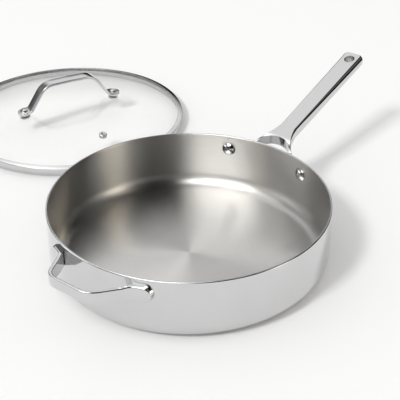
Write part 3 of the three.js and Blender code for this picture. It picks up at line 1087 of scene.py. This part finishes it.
# Each light card on the dome: middle azimuth, width, lower and upper elevation and edge softness
# in degrees, then its colour
cards = [
    (182, 72, 45, 65, 9, (8.6, 8.6, 8.4)),
    (180, 48, 25, 45, 8, (1.35, 1.35, 1.35)),
    (48, 60, 34, 68, 5, (1.0, 1.0, 1.0)),
    (38, 60, 18, 34, 6, (0.95, 0.95, 0.95)),
    (92, 40, 5, 40, 8, (0.22, 0.22, 0.22)),
    (74, 26, 45, 65, 8, (1.3, 1.3, 1.3)),
    (130, 40, 5, 25, 8, (2.0, 2.0, 2.0)),
    (120, 24, 45, 65, 8, (2.2, 2.2, 2.2)),
    (-76, 18, 2, 22, 6, (5.0, 4.5, 3.6)),
    (-72, 16, 24, 58, 5, (0.65, 0.61, 0.54)),
    (-40, 40, 36, 60, 8, (0.16, 0.16, 0.16)),
]

# How much softer a card's sides are than its top and bottom
side_fade = 2


def blank_nodes(owner):
    """The emptied node tree of a material or world."""
    owner.use_nodes = True
    owner.node_tree.nodes.clear()
    return Nodes(owner.node_tree)


def pale_floor():
    material = bpy.data.materials.new("pale_floor")
    nodes = blank_nodes(material)
    paint = nodes.node("ShaderNodeBsdfDiffuse", (floor_colour,))
    nodes.node("ShaderNodeOutputMaterial", (paint.outputs["BSDF"],))
    return material


def studio_floor():
    signs = ((-1, -1), (1, -1), (1, 1), (-1, 1))
    corners = [(x * floor_half, y * floor_half, 0) for x, y in signs]
    data = bpy.data.meshes.new("floor")
    data.from_pydata(corners, [], [(0, 1, 2, 3)])
    data.materials.append(pale_floor())
    floor = add_object("floor", data)
    floor.location.z = -floor_drop


def shown_rays(nodes):
    """1 for rays that show the background: to the camera, off metal and through glass."""
    path = nodes.node("ShaderNodeLightPath").outputs
    shown = nodes.math("MAXIMUM", path["Is Camera Ray"], path["Is Glossy Ray"])
    return nodes.math("MAXIMUM", shown, path["Is Transmission Ray"])


def studio_world():
    """Even soft light, under a background that shows white."""
    world = bpy.data.worlds.new("studio")
    nodes = blank_nodes(world)
    soft = nodes.node("ShaderNodeBackground", (white, soft_light)).outputs["Background"]
    shown = nodes.node("ShaderNodeBackground", (white, shown_light)).outputs["Background"]
    mix = nodes.node("ShaderNodeMixShader", (shown_rays(nodes), soft, shown))
    nodes.node("ShaderNodeOutputWorld", (mix.outputs["Shader"],))
    scene.world = world


def card_light(nodes, place, height, card):
    """Light of one card: a patch of the dome with soft edges."""
    middle, width, low, high, edge, colour = card
    facing = (math.cos(math.radians(middle)), math.sin(math.radians(middle)), 0)
    along = (-facing[1], facing[0], 0)
    turn = nodes.math("ARCTAN2", nodes.dot(place, along), nodes.dot(place, facing))
    soft = math.radians(edge)
    side = side_fade * soft
    half = math.radians(width) / 2
    across = nodes.fade(nodes.math("ABSOLUTE", turn), half + side, half - side)
    bottom = nodes.fade(height, math.radians(low) - soft, math.radians(low) + soft)
    top = nodes.fade(height, math.radians(high) + soft, math.radians(high) - soft)
    share = nodes.math("MULTIPLY", across, nodes.math("MULTIPLY", bottom, top))
    tinted = nodes.node("ShaderNodeVectorMath", (colour,), operation="SCALE")
    nodes.link(share, tinted.inputs["Scale"])
    return tinted.outputs["Vector"]


def dome_glow():
    """The dim room with its light cards."""
    material = bpy.data.materials.new("studio_dome")
    nodes = blank_nodes(material)
    place = nodes.node("ShaderNodeTexCoord").outputs["Object"]
    height = nodes.math("ARCSINE", nodes.dot(place, (0, 0, 1 / dome_reach)))
    light = room_light
    for card in cards:
        light = nodes.vector("ADD", light, card_light(nodes, place, height, card))["Vector"]
    glow = nodes.node("ShaderNodeEmission", (light,))
    nodes.node("ShaderNodeOutputMaterial", (glow.outputs["Emission"],))
    return material


def studio_dome():
    mesh = turned(arc(0, 0, dome_reach, 0, dome_top, steps=24), steps=96)
    data = mesh_data("studio_dome", mesh)
    data.materials.append(dome_glow())
    dome = add_object("studio_dome", data)
    dome.visible_camera = False
    dome.visible_diffuse = False
    dome.visible_transmission = False
    dome.visible_shadow = False


def key_light():
    """The lamp that throws the shadow; metal and glass don't show it."""
    lamp = bpy.data.lights.new("key_light", "AREA")
    lamp.shape = "SQUARE"
    lamp.size = key_size
    lamp.energy = key_power
    made = add_object("key_light", lamp)
    made.location = key_aim + key_direction * key_distance
    made.rotation_euler = (-key_direction).to_track_quat("-Z", "Y").to_euler()
    made.visible_glossy = False
    made.visible_transmission = False


studio_floor()
studio_world()
studio_dome()
key_light()

# Camera, at the photo's viewing angle; its focal length is in pixels of the 400 pixel frame
camera_place = Vector((-0.68216, -0.54297, 0.59636))
camera_forward = Vector((0.67472, 0.52343, -0.52036)).normalized()
camera_roll = math.radians(-0.388)
focal_pixels = 1026.89
frame_pixels = 400
sensor_width = 36
view_end = 50


def photo_camera():
    level_right = camera_forward.cross(Vector((0, 0, 1))).normalized()
    level_up = level_right.cross(camera_forward)
    right = level_right * math.cos(camera_roll) + level_up * math.sin(camera_roll)
    up = level_up * math.cos(camera_roll) - level_right * math.sin(camera_roll)
    lens = bpy.data.cameras.new("camera")
    lens.sensor_width = sensor_width
    lens.lens = sensor_width * focal_pixels / frame_pixels
    lens.clip_end = view_end
    camera = add_object("camera", lens)
    axes = Matrix((right, up, -camera_forward)).transposed().to_4x4()
    camera.matrix_world = Matrix.Translation(camera_place) @ axes
    return camera


scene.camera = photo_camera()
scene.view_settings.view_transform = "Standard"
